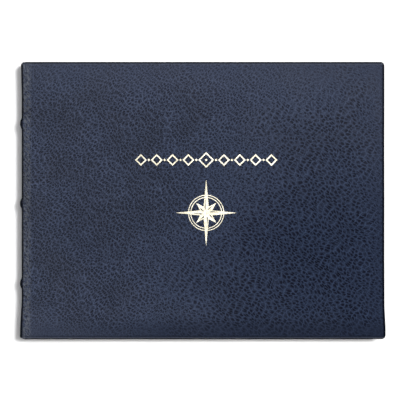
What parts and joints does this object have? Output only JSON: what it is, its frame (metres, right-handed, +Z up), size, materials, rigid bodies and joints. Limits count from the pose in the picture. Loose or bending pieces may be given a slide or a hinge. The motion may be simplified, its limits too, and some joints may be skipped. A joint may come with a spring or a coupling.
{
  "type": "leather log book",
  "caption": "Landscape leather-bound log book: sewn sections on tapes, raised bands on the spine, gilt ornament, and hinged front and back covers.",
  "frame": {"origin": "middle of the closed book's footprint, on the surface that the back cover lies on", "axes": "+Z up through the front cover, +X from the spine to the fore-edge, +Y from the tail of the book to its head"},
  "size_m": [0.242, 0.184, 0.0201],
  "materials": {
    "leather": "satin",
    "gilt": "satin",
    "greyboard": "matte",
    "spine_board": "matte",
    "filling_card": "matte",
    "endpaper": "matte",
    "page_paper": "matte",
    "kraft": "matte",
    "mull_cloth": "matte",
    "linen_tape": "matte",
    "linen_thread": "matte",
    "headband_silk": "satin"
  },
  "bodies": {
    "back_cover": {"back_board": "greyboard", "back_cover_leather": "leather", "back_filling": "filling_card", "back_hinge_cloth": "mull_cloth", "back_pastedown": "endpaper"},
    "back_flyleaf": {"back_flyleaf": "endpaper"},
    "book_block": {"section_07": "page_paper", "section_08": "page_paper", "section_09": "page_paper", "section_10": "page_paper", "section_11": "page_paper", "section_12": "page_paper", "head_sewing_tape": "linen_tape", "middle_sewing_tape": "linen_tape", "tail_sewing_tape": "linen_tape", "sewing_thread": "linen_thread", "spine_mull": "mull_cloth", "spine_lining": "kraft", "headband": "headband_silk", "tailband": "headband_silk", "spine_leather": "leather", "head_raised_band": "spine_board", "middle_raised_band": "spine_board", "tail_raised_band": "spine_board", "spine_card": "spine_board"},
    "front_cover": {"front_board": "greyboard", "front_cover_leather": "leather", "front_filling": "filling_card", "front_hinge_cloth": "mull_cloth", "front_pastedown": "endpaper", "ornament_foil": "gilt", "compass_foil": "gilt"},
    "front_flyleaf": {"front_flyleaf": "endpaper"},
    "section_01": {"section_01": "page_paper"},
    "section_02": {"section_02": "page_paper"},
    "section_03": {"section_03": "page_paper"},
    "section_04": {"section_04": "page_paper"},
    "section_05": {"section_05": "page_paper"},
    "section_06": {"section_06": "page_paper"}
  },
  "joints": [
    {"name": "back_joint", "type": "hinge", "parent": "back_cover", "child": "book_block", "pos_m": [-0.121, 0, 0], "axis": [0, 1, 0], "range_deg": [-90, 0]},
    {"name": "front_joint", "type": "hinge", "parent": "book_block", "child": "front_cover", "pos_m": [-0.121, 0, 0.02], "axis": [0, -1, 0], "range_deg": [0, 178]},
    {"name": "front_flyleaf_turn", "type": "hinge", "parent": "book_block", "child": "front_flyleaf", "pos_m": [-0.121, 0, 0.02], "axis": [0, -1, 0], "range_deg": [0, 178]},
    {"name": "section_01_turn", "type": "hinge", "parent": "book_block", "child": "section_01", "pos_m": [-0.121, 0, 0.02], "axis": [0, -1, 0], "range_deg": [0, 178]},
    {"name": "section_02_turn", "type": "hinge", "parent": "book_block", "child": "section_02", "pos_m": [-0.121, 0, 0.02], "axis": [0, -1, 0], "range_deg": [0, 178]},
    {"name": "section_03_turn", "type": "hinge", "parent": "book_block", "child": "section_03", "pos_m": [-0.121, 0, 0.02], "axis": [0, -1, 0], "range_deg": [0, 178]},
    {"name": "section_04_turn", "type": "hinge", "parent": "book_block", "child": "section_04", "pos_m": [-0.121, 0, 0.02], "axis": [0, -1, 0], "range_deg": [0, 178]},
    {"name": "section_05_turn", "type": "hinge", "parent": "book_block", "child": "section_05", "pos_m": [-0.121, 0, 0.02], "axis": [0, -1, 0], "range_deg": [0, 178]},
    {"name": "section_06_turn", "type": "hinge", "parent": "book_block", "child": "section_06", "pos_m": [-0.121, 0, 0.02], "axis": [0, -1, 0], "range_deg": [0, 178]},
    {"name": "back_flyleaf_turn", "type": "hinge", "parent": "back_cover", "child": "back_flyleaf", "pos_m": [-0.121, 0, 0], "axis": [0, 1, 0], "range_deg": [-90, 0]}
  ],
  "couplings": [
    {"joint": "front_flyleaf_turn", "follows": "front_joint", "ratio": 0.989},
    {"joint": "section_01_turn", "follows": "front_joint", "ratio": 0.98},
    {"joint": "section_02_turn", "follows": "front_joint", "ratio": 0.977},
    {"joint": "section_03_turn", "follows": "front_joint", "ratio": 0.974},
    {"joint": "section_04_turn", "follows": "front_joint", "ratio": 0.971},
    {"joint": "section_05_turn", "follows": "front_joint", "ratio": 0.968},
    {"joint": "section_06_turn", "follows": "front_joint", "ratio": 0.965},
    {"joint": "back_flyleaf_turn", "follows": "back_joint", "ratio": 0.12}
  ]
}
